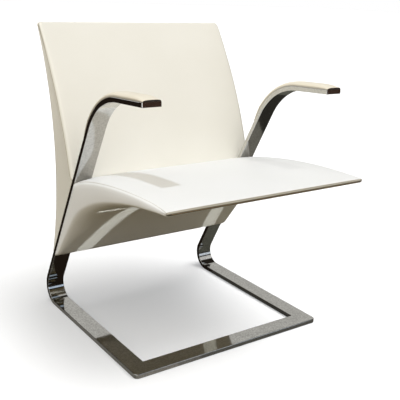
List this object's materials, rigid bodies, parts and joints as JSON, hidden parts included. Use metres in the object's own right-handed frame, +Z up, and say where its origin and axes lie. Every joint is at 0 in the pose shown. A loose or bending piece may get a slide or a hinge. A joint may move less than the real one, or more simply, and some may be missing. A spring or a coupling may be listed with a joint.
{
  "type": "cantilever lounge chair",
  "caption": "Cantilever lounge chair with a bent flat steel frame, a fin-shaped leather seat body, a wedge-shaped leather back and padded arms",
  "frame": {"origin": "on the floor under the middle of the chair's bounding box", "axes": "+X across the chair to the sitter's left, the sitter faces -Y, +Z up from the floor"},
  "size_m": [0.6, 0.681, 0.813],
  "materials": {
    "polished_steel": "polished flat steel bar with fine lengthwise brushing",
    "glide_nylon": "dark grey moulded nylon",
    "plywood": "moulded birch plywood, raw",
    "foam": "cut upholstery foam, pale yellow",
    "seat_leather": "smooth near-white leather with a soft sheen",
    "back_leather": "smooth cream leather with a soft sheen",
    "zinc_steel": "zinc-plated steel",
    "brass_insert": "turned brass"
  },
  "bodies": {
    "root": {"side_bar_right": "polished_steel", "side_bar_left": "polished_steel", "front_crossbar": "polished_steel", "floor_glides": "glide_nylon", "seat_rear_board": "plywood", "seat_deck": "plywood", "seat_belly_board": "plywood", "seat_rib_right": "plywood", "seat_rib_middle": "plywood", "seat_rib_left": "plywood", "seat_top_foam": "foam", "seat_side_foam_right": "foam", "seat_side_foam_left": "foam", "seat_top_leather": "seat_leather", "seat_under_leather": "seat_leather", "seat_front_band": "seat_leather", "joining_board": "plywood", "back_base_board": "plywood", "back_front_board": "plywood", "back_rear_board": "plywood", "back_ribs": "plywood", "back_foam": "foam", "back_front_leather": "back_leather", "back_rear_leather": "back_leather", "back_side_leather_right": "back_leather", "back_side_leather_left": "back_leather", "back_top_leather": "back_leather", "arm_pad_plate_right": "zinc_steel", "arm_pad_plate_left": "zinc_steel", "arm_pad_foam_right": "foam", "arm_pad_foam_left": "foam", "arm_pad_leather_right": "back_leather", "arm_pad_leather_left": "back_leather", "arm_pad_screws": "zinc_steel", "seat_bolts": "zinc_steel", "seat_washers": "zinc_steel", "back_bolts": "zinc_steel", "back_inserts": "brass_insert", "joining_screws": "zinc_steel"}
  },
  "joints": []
}
